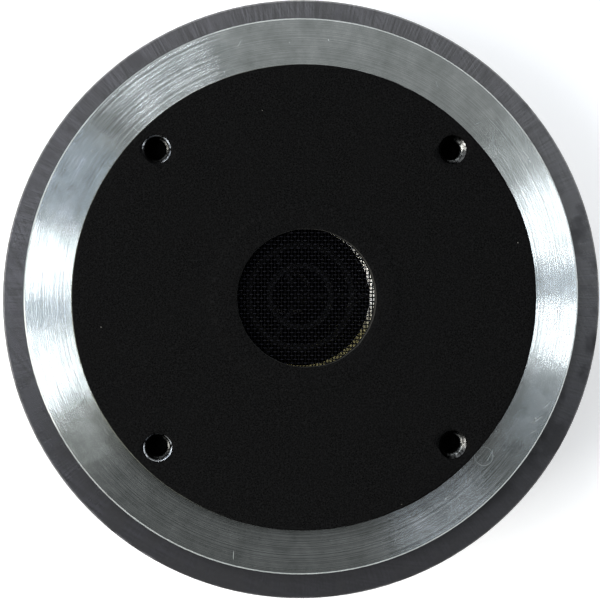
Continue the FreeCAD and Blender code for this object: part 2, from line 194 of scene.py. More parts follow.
# Scratches, a patch of haze, the rim of a dried drop and specks, all a little matt on the bright land.
marks = 0.0
for mark_x, mark_y, mark_length, mark_width, lean in FACE_SCRATCHES:
    laid = add(tree, "Mapping", {"Vector": spot, "Location": (mark_x * MM, mark_y * MM, 0),
                                 "Rotation": (0, 0, math.radians(lean)),
                                 "Scale": (mark_length * MM / 2, mark_width * MM / 2, 1.0)},
               vector_type="TEXTURE")
    flat_spot = add(tree, "VectorMath", {0: laid, 1: (1, 1, 0)}, operation="MULTIPLY")
    away = add(tree, "VectorMath", {0: flat_spot}, operation="LENGTH").outputs["Value"]
    here = add(tree, "MapRange", {"Value": away, "From Min": 0.6, "From Max": 1.0, "To Min": 1.0,
                                  "To Max": 0.0})
    marks = add(tree, "Math", {0: marks, 1: here}, operation="MAXIMUM")
haze_away = add(tree, "VectorMath", {0: spot, 1: HAZE_MIDDLE}, operation="DISTANCE").outputs["Value"]
haze = add(tree, "MapRange", {"Value": haze_away, "From Min": HAZE_RADIUS - 0.5 * MM,
                              "From Max": HAZE_RADIUS, "To Min": 0.11, "To Max": 0.0})
drop_away = add(tree, "VectorMath", {0: spot, 1: DROP_MIDDLE}, operation="DISTANCE").outputs["Value"]
drop_miss = add(tree, "Math", {0: drop_away, 1: -DROP_RADIUS}, operation="ADD")
drop_miss = add(tree, "Math", {0: drop_miss}, operation="ABSOLUTE")
drop_rim = add(tree, "MapRange", {"Value": drop_miss, "From Min": 0.1 * MM, "From Max": 0.3 * MM,
                                  "To Min": 0.35, "To Max": 0.0})
marks = add(tree, "Math", {0: marks, 1: haze}, operation="MAXIMUM")
marks = add(tree, "Math", {0: marks, 1: drop_rim}, operation="MAXIMUM")
depth = add(tree, "SeparateXYZ", {0: spot}).outputs["Z"]
on_land = add(tree, "Math", {0: depth, 1: LAND_FOOT}, operation="GREATER_THAN")
marks = add(tree, "Math", {0: marks, 1: on_land}, operation="MULTIPLY")
speck_cells = add(tree, "TexVoronoi", {"Vector": spot, "Scale": 1 / SPECK_SPACING}, feature="F1")
speck_pick = add(tree, "SeparateColor", {0: speck_cells.outputs["Color"]}).outputs[0]
speck_chosen = add(tree, "Math", {0: speck_pick, 1: 0.8}, operation="GREATER_THAN")
speck_near = add(tree, "MapRange", {"Value": speck_cells.outputs["Distance"], "From Min": 0.05,
                                    "From Max": 0.08, "To Min": 0.9, "To Max": 0.0})
speck = add(tree, "Math", {0: speck_chosen, 1: speck_near}, operation="MULTIPLY")
dull = add(tree, "Math", {0: marks, 1: speck}, operation="MAXIMUM")

# Where the throat's wall, the face under the gasket and the side of the boss are.
in_bore = add(tree, "Math", {0: radius, 1: BORE_REACH}, operation="LESS_THAN")
below = add(tree, "Math", {0: depth, 1: BORE_TOP}, operation="LESS_THAN")
bore = add(tree, "Math", {0: in_bore, 1: below}, operation="MULTIPLY")
covered = add(tree, "Math", {0: depth, 1: COVERED_ABOVE}, operation="GREATER_THAN")
on_boss = add(tree, "Math", {0: radius, 1: BOSS_REACH}, operation="LESS_THAN")
on_side = add(tree, "Math", {0: depth, 1: BOSS_FOOT}, operation="GREATER_THAN")
boss_side = add(tree, "Math", {0: on_boss, 1: on_side}, operation="MULTIPLY")

# The land: cloudy bright plating, with gloss that follows the tool's lines and is stretched along them.
tint = add(tree, "TexNoise", {"Vector": spot, "Scale": 1 / TINT_SIZE, "Detail": 5.0, "Roughness": 0.66})
tint_share = add(tree, "MapRange", {"Value": tint, "From Min": 0.25, "From Max": 0.7})
plate_tint = add(tree, "Mix", {"Factor": tint_share, "A": colour("afb5b3"), "B": colour(ZINC_PLATE)},
                 data_type="RGBA")
along = add(tree, "Tangent", direction_type="RADIAL", axis="Z")
tool_lines = add(tree, "TexNoise", {"W": radius, "Scale": 1 / LINE_PITCH, "Detail": 4.0},
                 noise_dimensions="1D")
even_gloss = add(tree, "MapRange", {"Value": tool_lines, "From Min": 0.35, "From Max": 0.65,
                                    "To Min": 0.195, "To Max": 0.215})
rung_gloss = add(tree, "MapRange", {"Value": tool_lines, "From Min": 0.38, "From Max": 0.62,
                                    "To Min": 0.17, "To Max": 0.25})
chatter_way = (math.cos(CHATTER_AZIMUTH), math.sin(CHATTER_AZIMUTH), 0)
facing_chatter = add(tree, "VectorMath", {0: spot, 1: chatter_way},
                     operation="DOT_PRODUCT").outputs["Value"]
facing_chatter = add(tree, "Math", {0: facing_chatter, 1: radius}, operation="DIVIDE")
line_depth = add(tree, "MapRange", {"Value": facing_chatter, "From Min": -1.0, "To Min": 0.3})
facing_chatter = add(tree, "Math", {0: facing_chatter}, operation="ABSOLUTE")
chatter = add(tree, "MapRange", {"Value": facing_chatter, "From Min": 0.955, "From Max": 0.975})
line_gloss = add(tree, "Mix", {"Factor": chatter, "A": even_gloss, "B": rung_gloss}, data_type="FLOAT")
rung_share = add(tree, "MapRange", {"Value": tool_lines, "From Min": 0.42, "From Max": 0.6,
                                    "To Min": 0.42, "To Max": 0.0})
rung_share = add(tree, "Math", {0: rung_share, 1: chatter}, operation="MULTIPLY")
rung_share = add(tree, "Math", {0: rung_share, 1: line_depth}, operation="MULTIPLY")
lined_tint = add(tree, "Mix", {"Factor": rung_share, "A": plate_tint, "B": colour("55585a")},
                 data_type="RGBA")
bright = add(tree, "BsdfPrincipled", {"Base Color": lined_tint, "Metallic": 1.0, "Roughness": line_gloss,
                                      "Anisotropic": 1.0, "Anisotropic Rotation": 0.25,
                                      "Normal": grooved, "Tangent": along})
matt = add(tree, "BsdfPrincipled", {"Base Color": plate_tint, "Metallic": 1.0, "Roughness": 0.9})
mixed = add(tree, "MixShader", {"Fac": dull, 1: bright, 2: matt})

# The boss's side: painted shade, a dark olive much duller than the land, standing in for the shade and
# dark reflection under the gasket's edge.
boss_side_shade = add(tree, "BsdfPrincipled", {"Base Color": colour("62645c"), "Metallic": 1.0,
                                          "Roughness": 0.45, "Normal": grooved})
mixed = add(tree, "MixShader", {"Fac": boss_side, 1: mixed, 2: boss_side_shade})

# The throat's wall: fine ridges that catch the light from the face, painted near white as painted light
# and painted yellow lower down as painted warm light.
across = add(tree, "SeparateXYZ", {0: spot}).outputs["Y"]
warm_light_share = add(tree, "MapRange", {"Value": across, "From Min": -2 * MM, "From Max": -9 * MM})
bore_painted_light_tint = add(tree, "Mix", {"Factor": warm_light_share, "A": colour(BORE_PAINTED_LIGHT), "B": colour(BORE_PAINTED_WARM_LIGHT)},
                data_type="RGBA")
ridged = add(tree, "VectorMath", {0: add(tree, "NewGeometry").outputs["Normal"], 1: (0, 0, 1.5)},
             operation="ADD")
ridged = add(tree, "VectorMath", {0: ridged}, operation="NORMALIZE")
painted_light_bore = add(tree, "BsdfPrincipled", {"Base Color": bore_painted_light_tint, "Metallic": 0.8, "Roughness": 0.42,
                                       "Normal": ridged})
mixed = add(tree, "MixShader", {"Fac": bore, 1: mixed, 2: painted_light_bore})

# The face under the gasket, painted near black as painted shade.
shade_under_gasket = add(tree, "BsdfPrincipled", {"Base Color": colour("1c1d1e"), "Metallic": 1.0,
                                           "Roughness": 0.45})
mixed = add(tree, "MixShader", {"Fac": covered, 1: mixed, 2: shade_under_gasket})

# The broken edges of the four holes: bare steel, bright in random patches. Painted shade darkens the
# left side of the right holes, the inner edge of the left holes and the lower left of the upper left hole.
from_hole, hole_reach, right_hole, unshaded_side = around_holes(tree, spot)
at_hole = add(tree, "Math", {0: hole_reach, 1: HOLE_ZONE}, operation="LESS_THAN")
edge_slope = add(tree, "Mix", {"Factor": right_hole, "A": -0.3, "B": -0.9}, data_type="FLOAT")
inwards = add(tree, "VectorMath", {0: from_hole, "Scale": edge_slope}, operation="SCALE")
broken_edge = add(tree, "VectorMath", {0: inwards, 1: (0, 0, 1)}, operation="ADD")
broken_edge = add(tree, "VectorMath", {0: broken_edge}, operation="NORMALIZE")
edge_wear = add(tree, "TexNoise", {"Vector": spot, "Scale": 1 / (1.1 * MM), "Detail": 3.0})
edge_share = add(tree, "MapRange", {"Value": edge_wear, "From Min": 0.36, "From Max": 0.6})
rim_share = add(tree, "MapRange", {"Value": hole_reach, "From Min": 3.1 * MM, "From Max": 3.3 * MM})
turned_up = add(tree, "VectorMath", {0: from_hole, 1: UPPER_HOLE_SHADE_SLOPE},
                operation="DOT_PRODUCT").outputs["Value"]
upper_hole = add(tree, "Math", {0: across, 1: 0.0}, operation="GREATER_THAN")
unshaded_rim = add(tree, "MapRange", {"Value": turned_up, "From Min": -0.6, "From Max": -0.2})
unshaded_rim = add(tree, "Mix", {"Factor": upper_hole, "A": 1.0, "B": unshaded_rim}, data_type="FLOAT")
rim_share = add(tree, "Math", {0: rim_share, 1: unshaded_rim}, operation="MULTIPLY")
unshaded_share = add(tree, "Mix", {"Factor": right_hole, "A": rim_share, "B": unshaded_side},
                 data_type="FLOAT")
edge_share = add(tree, "Math", {0: edge_share, 1: unshaded_share}, operation="MULTIPLY")
edge_tint_and_shade = add(tree, "Mix", {"Factor": edge_share, "A": colour("0c0c0c"), "B": colour("9a9c9d")},
                data_type="RGBA")
chamfered = add(tree, "BsdfPrincipled", {"Base Color": edge_tint_and_shade, "Metallic": 1.0,
                                         "Roughness": 0.3, "Normal": broken_edge})
mixed = add(tree, "MixShader", {"Fac": at_hole, 1: mixed, 2: chamfered})
close_finish(tree, mixed)
wear("pole_yoke", turned_zinc)

# Threads of the four mounting holes: M6, cut by a tap right through the plate. The ridges stand inside
# the drilled holes of the plate. Torn flanks are bright bare steel in patches. The turns deeper than 2 mm,
# the left side of each hole and the left holes as a whole are painted near black as painted shade.
THREAD_PITCH = 1.0 * MM
THREAD_MAJOR = 3.0 * MM
THREAD_MINOR = 2.46 * MM
THREAD_TOP = -0.7 * MM
THREAD_BOTTOM = -9.9 * MM
THREAD_WALL = 0.15 * MM
THREAD_RUN_OUT = 0.5 * MM
CREST_SHARE = 0.16
FLANK_SHARE = 0.66
HOLE_PAINTED_SHADE = "0e0d0c"
THREAD_STEPS = 64
THREAD_ROWS = 16


def add_piece(name, points, faces, finish, body):
    """A new mesh piece that rides on a body and wears the given finish."""
    mesh = bpy.data.meshes.new(name)
    mesh.from_pydata(points, [], faces)
    mesh.polygons.foreach_set("use_smooth", [True] * len(mesh.polygons))
    mesh.materials.append(finish)
    piece = bpy.data.objects.new(name, mesh)
    bpy.context.scene.collection.objects.link(piece)
    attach(piece, body)
    return piece


def thread_radius(turn):
    """The hole's radius over one pitch of the thread: a narrow root, two straight flanks and a crest."""
    across = abs((turn % 1.0) - 0.5) * 2
    share = min(max((across - CREST_SHARE) / FLANK_SHARE, 0.0), 1.0)
    return THREAD_MINOR + (THREAD_MAJOR - 0.01 * MM - THREAD_MINOR) * share


def lathe_points(section, steps):
    """Points of a section in mm, given as radius and height, turned round the axis."""
    turns = [2 * math.pi * step / steps for step in range(steps)]
    return [(radius * MM * math.cos(turn), radius * MM * math.sin(turn), height * MM)
            for radius, height in section for turn in turns]


def lathe_grid(columns, rows, first=0):
    """Faces of a closed band of points: each row is a full ring, and the last row joins the first."""
    faces = []
    for row in range(rows):
        above = (row + 1) % rows
        for column in range(columns):
            beside = (column + 1) % columns
            faces.append((first + row * columns + column, first + row * columns + beside,
                          first + above * columns + beside, first + above * columns + column))
    return faces


cut_steel, tree, spot = new_finish("tapped_steel")
chatter = add(tree, "TexNoise", {"Vector": spot, "Scale": 1 / (0.35 * MM), "Detail": 2.0})
ripple = add(tree, "Bump", {"Height": chatter, "Strength": 0.5, "Distance": 0.03 * MM})
level = add(tree, "SeparateXYZ", {0: spot}).outputs["Z"]
# Painted shade: the turns deeper than 2 mm fade to near black.
deep_shade_share = add(tree, "MapRange", {"Value": level, "From Min": -2.0 * MM, "From Max": -4.2 * MM})
torn = add(tree, "TexNoise", {"Vector": spot, "Scale": 1 / (0.55 * MM), "Detail": 3.0})
torn_share = add(tree, "MapRange", {"Value": torn, "From Min": 0.42, "From Max": 0.58})
flank_tint = add(tree, "Mix", {"Factor": torn_share, "A": colour("3c3d3c"), "B": colour("a4a7a6")},
                 data_type="RGBA")
# Painted shade: the left side of each hole is darkened, and the left holes more so.
right_hole, unshaded_side = around_holes(tree, spot)[2:]
unshaded_flank = add(tree, "Math", {0: right_hole, 1: 0.7, 2: 0.3}, operation="MULTIPLY_ADD")
unshaded_flank = add(tree, "Math", {0: unshaded_flank, 1: unshaded_side}, operation="MULTIPLY")
flank_tint = add(tree, "Mix", {"Factor": unshaded_flank, "A": colour(HOLE_PAINTED_SHADE), "B": flank_tint},
                 data_type="RGBA")
thread_tint = add(tree, "Mix", {"Factor": deep_shade_share, "A": flank_tint, "B": colour(HOLE_PAINTED_SHADE)},
                  data_type="RGBA")
metal = add(tree, "BsdfPrincipled", {"Base Color": thread_tint, "Metallic": 1.0,
                                     "Roughness": 0.4, "Normal": ripple})
close_finish(tree, metal)
thread_points = []
thread_faces = []
thread_levels = int((THREAD_TOP - THREAD_BOTTOM) / THREAD_PITCH * THREAD_ROWS)
for hole in range(4):
    angle = math.radians(45 + 90 * hole)
    hole_x, hole_y = BOLT_CIRCLE * math.cos(angle), BOLT_CIRCLE * math.sin(angle)
    first = len(thread_points)
    for row in range(thread_levels + 1):
        level = THREAD_BOTTOM + (THREAD_TOP - THREAD_BOTTOM) * row / thread_levels
        run_out = min(max((THREAD_TOP - level) / THREAD_RUN_OUT, 0.0), 1.0)
        for step in range(THREAD_STEPS):
            around = 2 * math.pi * step / THREAD_STEPS
            ridge = thread_radius(level / THREAD_PITCH - step / THREAD_STEPS)
            reach = THREAD_MAJOR - (THREAD_MAJOR - ridge) * run_out
            thread_points.append((hole_x + reach * math.cos(around), hole_y + reach * math.sin(around),
                                  level))
    for level in (THREAD_TOP, THREAD_BOTTOM):
        for step in range(THREAD_STEPS):
            around = 2 * math.pi * step / THREAD_STEPS
            reach = THREAD_MAJOR + THREAD_WALL
            thread_points.append((hole_x + reach * math.cos(around), hole_y + reach * math.sin(around),
                                  level))
    thread_faces += lathe_grid(THREAD_STEPS, thread_levels + 3, first)
add_piece("bolt_threads", thread_points, thread_faces, cut_steel, "driver")

# Ferrite magnet: a pressed and fired ceramic ring, its faces ground flat on a rotary grinder. That leaves
# a dark grey stone-like gloss with fine streaks out from the middle and wide arcs where the wheel left it.
# Stains and the sides, which are as fired, are matt, and painted shade makes the face duller and darker
# towards the lower right.
STREAK_WIDTH = 0.45 * MM
STREAK_LENGTH = 9.0 * MM
RING_MIDDLE = 71 * MM
WHEEL_MIDDLE = (36.5 * MM, 63.2 * MM, 0)
SHADE_AZIMUTH = math.radians(290)

# Streaks out from the middle, slanted scores, grit and the wheel's arcs, added up.
ferrite, tree, spot = new_finish("ground_ferrite")
flat = add(tree, "VectorMath", {0: spot, 1: (1, 1, 0)}, operation="MULTIPLY")
radius = add(tree, "VectorMath", {0: flat}, operation="LENGTH").outputs["Value"]
outwards = add(tree, "VectorMath", {0: flat}, operation="NORMALIZE")
ring_spot = add(tree, "VectorMath", {0: outwards, "Scale": RING_MIDDLE / STREAK_WIDTH}, operation="SCALE")
out_spot = add(tree, "Math", {0: radius, 1: 1 / STREAK_LENGTH}, operation="MULTIPLY")
out_vector = add(tree, "CombineXYZ", {2: out_spot})
streak_spot = add(tree, "VectorMath", {0: ring_spot, 1: out_vector}, operation="ADD")
streaks = add(tree, "TexNoise", {"Vector": streak_spot, "Scale": 1.0, "Detail": 3.0})
slant = add(tree, "Mapping", {"Vector": spot, "Rotation": (0, 0, math.radians(28)),
                              "Scale": (0.5 * MM, 12 * MM, 1.0)}, vector_type="TEXTURE")
cross = add(tree, "TexNoise", {"Vector": slant, "Scale": 1.0, "Detail": 2.0})
grit = add(tree, "TexNoise", {"Vector": spot, "Scale": 1 / (0.3 * MM), "Detail": 3.0})
lines = add(tree, "Math", {0: cross, 1: 0.45, 2: streaks}, operation="MULTIPLY_ADD")
lines = add(tree, "Math", {0: grit, 1: 0.35, 2: lines}, operation="MULTIPLY_ADD")
from_wheel = add(tree, "VectorMath", {0: flat, 1: WHEEL_MIDDLE}, operation="DISTANCE").outputs["Value"]
arcs = add(tree, "TexNoise", {"W": from_wheel, "Scale": 1 / (0.9 * MM), "Detail": 2.0},
           noise_dimensions="1D")
arcs = add(tree, "Math", {0: arcs, 1: -0.5}, operation="ADD")
arc_side = add(tree, "MapRange", {"Value": from_wheel, "From Min": 100 * MM, "From Max": 130 * MM,
                                  "To Max": 0.8})
lines = add(tree, "Math", {0: arcs, 1: arc_side, 2: lines}, operation="MULTIPLY_ADD")

# The ground face, glossy and dark, and the fired skin with its fine pits.
light_share = add(tree, "MapRange", {"Value": lines, "From Min": 0.78, "From Max": 1.04})
stone = add(tree, "Mix", {"Factor": light_share, "A": colour("121318"), "B": colour("35343d")},
            data_type="RGBA")
scored = add(tree, "Bump", {"Height": lines, "Strength": 0.6, "Distance": 0.03 * MM})
ceramic = add(tree, "BsdfPrincipled", {"Base Color": stone, "Roughness": 0.2, "IOR": 2.6,
                                       "Normal": scored})
fired_grain = add(tree, "TexNoise", {"Vector": spot, "Scale": 1 / (0.7 * MM), "Detail": 4.0})
fired_tint = add(tree, "Mix", {"Factor": fired_grain, "A": colour("121214"), "B": colour("242326")},
                 data_type="RGBA")
fired_pits = add(tree, "Bump", {"Height": fired_grain, "Strength": 0.6, "Distance": 0.06 * MM})
as_fired = add(tree, "BsdfPrincipled", {"Base Color": fired_tint, "Roughness": 0.6, "IOR": 1.7,
                                        "Specular IOR Level": 0.25, "Normal": fired_pits})

# Where the skin is left: on the sides, in stains and between the streaks; the larger share towards the
# lower right is painted shade.
facing = add(tree, "SeparateXYZ", {0: add(tree, "NewGeometry").outputs["Normal"]}).outputs["Z"]
upright = add(tree, "Math", {0: facing}, operation="ABSOLUTE")
unground = add(tree, "Math", {0: upright, 1: 0.5}, operation="LESS_THAN")
stains = add(tree, "TexNoise", {"Vector": spot, "Scale": 1 / (6 * MM), "Detail": 3.0})
stain_and_shade_share = add(tree, "MapRange", {"Value": stains, "From Min": 0.5, "From Max": 0.7, "To Max": 0.42})
# Painted shade: the face is mixed towards the darker skin towards the lower right.
shade_way = (math.cos(SHADE_AZIMUTH), math.sin(SHADE_AZIMUTH), 0)
toward_shade = add(tree, "VectorMath", {0: spot, 1: shade_way}, operation="DOT_PRODUCT").outputs["Value"]
painted_shade_share = add(tree, "MapRange", {"Value": toward_shade, "From Min": -40 * MM, "From Max": 60 * MM,
                                    "To Max": 0.8})
stain_and_shade_share = add(tree, "Math", {0: stain_and_shade_share, 1: painted_shade_share}, operation="ADD", use_clamp=True)
left_rough = add(tree, "MapRange", {"Value": lines, "From Min": 1.02, "From Max": 0.72, "To Max": 0.42})
left_rough = add(tree, "Math", {0: left_rough, 1: stain_and_shade_share}, operation="MAXIMUM")
left_rough = add(tree, "Math", {0: left_rough, 1: unground}, operation="MAXIMUM")
ceramic = add(tree, "MixShader", {"Fac": left_rough, 1: ceramic, 2: as_fired})
# Painted shade: the face at the foot of each bolt hole is painted near black.
at_hole_foot = add(tree, "Math", {0: around_holes(tree, spot)[1], 1: HOLE_ZONE}, operation="LESS_THAN")
hole_foot_shade = add(tree, "BsdfPrincipled", {"Base Color": colour("060606"), "Roughness": 0.8,
                                       "Specular IOR Level": 0.1})
ceramic = add(tree, "MixShader", {"Fac": at_hole_foot, 1: ceramic, 2: hole_foot_shade})
close_finish(tree, ceramic)
wear("ferrite_magnet", ferrite)

# Top plate: a turned steel ring behind the magnet, zinc plated as the pole is. Only its edge and its rear
# land can be seen.
wear("top_plate", turned_zinc)

# Copper sleeve: a thin copper tube, drawn to size and pressed on the pole's tip. It is satin, and browned
# a little in patches by handling.


def clouded_finish(name, cloud_size, detail, dark, light, surface):
    """A finish of two tones that drift into each other, with the given settings of its surface."""
    finish, tree, spot = new_finish(name)
    cloud = add(tree, "TexNoise", {"Vector": spot, "Scale": 1 / cloud_size, "Detail": detail})
    tint = add(tree, "Mix", {"Factor": cloud, "A": colour(dark), "B": colour(light)}, data_type="RGBA")
    close_finish(tree, add(tree, "BsdfPrincipled", {"Base Color": tint, **surface}))
    return finish


bare_copper = clouded_finish("drawn_copper", 6 * MM, 4.0, "9c5a3c", "c98a66",
                             {"Metallic": 1.0, "Roughness": 0.32})
wear("shorting_sleeve", bare_copper)

# Phase plug: four nested mouldings of black glass-filled nylon, glued into the pole at their webs.
# The moulded skin is satin, with the faint cloudiness of the glass fibre.
black_nylon, tree, spot = new_finish("moulded_glass_filled_nylon")
fibre = add(tree, "TexNoise", {"Vector": spot, "Scale": 1 / (0.8 * MM), "Detail": 4.0})
cloud = add(tree, "Mix", {"Factor": fibre, "A": colour("010102"), "B": colour("040406")},
            data_type="RGBA")
skin = add(tree, "Bump", {"Height": fibre, "Strength": 0.25, "Distance": 0.03 * MM})
nylon = add(tree, "BsdfPrincipled", {"Base Color": cloud, "Roughness": 0.55, "IOR": 1.53,
                                     "Specular IOR Level": 0.12, "Normal": skin})
close_finish(tree, nylon)
for plug_node in ("plug_bullet", "plug_ring_1", "plug_ring_2", "plug_outer_ring"):
    wear(plug_node, black_nylon)

# Diaphragm: a dome pressed from titanium foil, a former of amber polyimide film with the voice coil
# wound on it, and a surround of the same film glued to the diaphragm ring.
# Titanium foil: a warm grey satin with the fine grain of rolling along it.
titanium_foil, tree, spot = new_finish("pressed_titanium_foil")
rolled = add(tree, "Mapping", {"Vector": spot, "Scale": (0.2 * MM, 6 * MM, 6 * MM)},
             vector_type="TEXTURE")
grain = add(tree, "TexNoise", {"Vector": rolled, "Scale": 1.0, "Detail": 3.0})
foil_tint = add(tree, "Mix", {"Factor": grain, "A": colour("8e8b88"), "B": colour("a8a5a0")},
                data_type="RGBA")
foil = add(tree, "BsdfPrincipled", {"Base Color": foil_tint, "Metallic": 1.0, "Roughness": 0.35})
close_finish(tree, foil)
wear("diaphragm_dome", titanium_foil)

# Amber film: glossy and honey brown.
amber_film = clouded_finish("polyimide_film", 3 * MM, 2.0, "a8641c", "bf7a28",
                            {"Roughness": 0.22, "IOR": 1.7})
wear("voice_coil_former", amber_film)

# The surround is drawn in two parts, split where the roll leaves the clamp: the rim is clamped to the
# ring and stays still, and the half roll inside it travels with the dome. Sizes in mm.
ROLL_MIDDLE = 39.9
ROLL_RADIUS = 1.5
FILM_THICKNESS = 0.25
SURROUND_INNER = 37.8
RIM_INNER = 41.7
SURROUND_STEPS = 180
surround_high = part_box("diaphragm_surround")[1]
clamp_level = surround_high[2] / MM
rim_outer = surround_high[0] / MM
roll_section = [(SURROUND_INNER, clamp_level)]
for turn in range(180, 361, 15):
    roll_section.append((ROLL_MIDDLE + ROLL_RADIUS * math.cos(math.radians(turn)),
                         clamp_level + ROLL_RADIUS * math.sin(math.radians(turn))))
roll_section.append((RIM_INNER - 0.1, clamp_level))
for turn in range(350, 189, -16):
    reach = ROLL_RADIUS + FILM_THICKNESS
    roll_section.append((ROLL_MIDDLE + reach * math.cos(math.radians(turn)),
                         clamp_level + reach * math.sin(math.radians(turn))))
roll_section.append((SURROUND_INNER, clamp_level - FILM_THICKNESS))
rim_section = [(RIM_INNER, clamp_level), (rim_outer, clamp_level),
               (rim_outer, clamp_level - FILM_THICKNESS), (RIM_INNER, clamp_level - FILM_THICKNESS)]
for name, section, body in (("surround_roll", roll_section, "diaphragm"),
                            ("surround_rim", rim_section, "driver")):
    points = lathe_points(section, SURROUND_STEPS)
    faces = [face[::-1] for face in lathe_grid(SURROUND_STEPS, len(section))]
    film_piece = add_piece(name, points, faces, amber_film, body)
    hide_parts("diaphragm_surround")

# Enamelled copper wire, laid in even turns; the crest of each turn is painted lighter, a painted
# highlight.
coil_wire, tree, spot = new_finish("enamelled_flat_wire")
height = add(tree, "SeparateXYZ", {0: spot}).outputs["Z"]
turns = add(tree, "Math", {0: height, 1: 2 * math.pi / (0.25 * MM)}, operation="MULTIPLY")
wave = add(tree, "Math", {0: turns}, operation="SINE")
laid = add(tree, "Bump", {"Height": wave, "Strength": 0.6, "Distance": 0.04 * MM})
# Painted highlight: each turn's crest is lighter.
turn_highlight_share = add(tree, "MapRange", {"Value": wave, "From Min": -1.0, "From Max": 1.0})
wire_tint = add(tree, "Mix", {"Factor": turn_highlight_share, "A": colour("7a3f1e"), "B": colour("b8713c")},
                data_type="RGBA")
wire_coat = add(tree, "BsdfPrincipled", {"Base Color": wire_tint, "Metallic": 1.0, "Roughness": 0.28,
                                         "Normal": laid})
close_finish(tree, wire_coat)
wear("voice_coil_winding", coil_wire)

# Diaphragm ring, with its screws, its pins and the strips that bring the signal: turned aluminium,
# black oxide steel screws, ground steel pins and tinned brass strip.
ring_metal, tree, spot = new_finish("turned_aluminium")
grooved, radius = turned_normal(tree, spot, [(0.8 * MM, 0.3)])
aluminium = add(tree, "BsdfPrincipled", {"Base Color": colour("b9babc"), "Metallic": 1.0,
                                         "Roughness": 0.33, "Normal": grooved})
close_finish(tree, aluminium)
wear("diaphragm_ring", ring_metal)

# Black oxide: nearly black, rubbed to grey in places.
screw_steel, tree, spot = new_finish("black_oxide_steel")
rub = add(tree, "TexNoise", {"Vector": spot, "Scale": 1 / (1.2 * MM), "Detail": 4.0})
rubbed = add(tree, "MapRange", {"Value": rub, "From Min": 0.55, "From Max": 0.75})
oxide_tint = add(tree, "Mix", {"Factor": rubbed, "A": colour("1b1b1d"), "B": colour("36363a")},
                 data_type="RGBA")
oxide_gloss = add(tree, "MapRange", {"Value": rub, "To Min": 0.5, "To Max": 0.3})
oxide = add(tree, "BsdfPrincipled", {"Base Color": oxide_tint, "Metallic": 0.8,
                                     "Roughness": oxide_gloss})
close_finish(tree, oxide)
wear("diaphragm_screws", screw_steel)
wear("cover_screws", screw_steel)

# Ground steel: bright, with fine lines.
pin_steel, tree, spot = new_finish("ground_pin_steel")
ground_lines = add(tree, "TexNoise", {"Vector": spot, "Scale": 1 / (0.25 * MM), "Detail": 2.0})
pin_gloss = add(tree, "MapRange", {"Value": ground_lines, "To Min": 0.18, "To Max": 0.36})
pin = add(tree, "BsdfPrincipled", {"Base Color": colour("b4b6b8"), "Metallic": 1.0,
                                   "Roughness": pin_gloss})
close_finish(tree, pin)
wear("locating_pins", pin_steel)

# Hot dipped tin: bright and slightly uneven.
tinned_brass, tree, spot = new_finish("tinned_brass")
dip = add(tree, "TexNoise", {"Vector": spot, "Scale": 1 / (2.5 * MM), "Detail": 3.0})
tin_gloss = add(tree, "MapRange", {"Value": dip, "To Min": 0.2, "To Max": 0.42})
tin_tint = add(tree, "Mix", {"Factor": dip, "A": colour("b9b6ae"), "B": colour("d2d0ca")},
               data_type="RGBA")
tin_wave = add(tree, "Bump", {"Height": dip, "Strength": 0.2, "Distance": 0.05 * MM})
tin = add(tree, "BsdfPrincipled", {"Base Color": tin_tint, "Metallic": 1.0, "Roughness": tin_gloss,
                                   "Normal": tin_wave})
close_finish(tree, tin)
for strip_node in ("contact_strips", "terminal_positive", "terminal_negative"):
    wear(strip_node, tinned_brass)

# Throat screen: a plain weave of fine black painted wire, trapped at its rim between gasket and plate.
# On the weft the crowns, where one set of wires rides over the other, are painted grey as a painted
# highlight. The wires are drawn coarser than usual screen cloth, as they show in the photograph.
SCREEN_OPENING = 17.6 * MM
WIRE_RADIUS = 0.145 * MM
WARP_SPACING = 0.82 * MM
WEFT_SPACING = 0.93 * MM
WIRE_SIDES = 8
POINTS_PER_CROSSING = 4
RIM_STEPS = 128


def wave_wire(offset, spacing_across, swing, upright, points, faces):
    """One wire of the weave as a tube that goes over and under the wires it crosses."""
    half = math.sqrt(SCREEN_OPENING ** 2 - offset ** 2)
    count = max(2, int(2 * half / spacing_across * POINTS_PER_CROSSING))
    first = len(points)
    for i in range(count + 1):
        along = -half + 2 * half * i / count
        turn = math.pi * along / spacing_across
        height = swing * WIRE_RADIUS * math.cos(turn)
        lean = math.atan(-swing * WIRE_RADIUS * math.pi / spacing_across * math.sin(turn))
        for side in range(WIRE_SIDES):
            angle = 2 * math.pi * side / WIRE_SIDES
            across = WIRE_RADIUS * math.cos(angle)
            up = WIRE_RADIUS * math.sin(angle)
            forward = along - up * math.sin(lean)
            level = height + up * math.cos(lean)
            place = (offset + across, forward, level) if upright else (forward, offset + across, level)
            points.append(place)
    for i in range(count):
        for side in range(WIRE_SIDES):
            beside = (side + 1) % WIRE_SIDES
            a, b = first + i * WIRE_SIDES + side, first + i * WIRE_SIDES + beside
            face = (a, b, b + WIRE_SIDES, a + WIRE_SIDES)
            faces.append(face[::-1] if upright else face)
    ends = [list(range(first, first + WIRE_SIDES)),
            list(range(first + count * WIRE_SIDES, first + (count + 1) * WIRE_SIDES))]
    faces.append(ends[0] if upright else ends[0][::-1])
    faces.append(ends[1][::-1] if upright else ends[1])


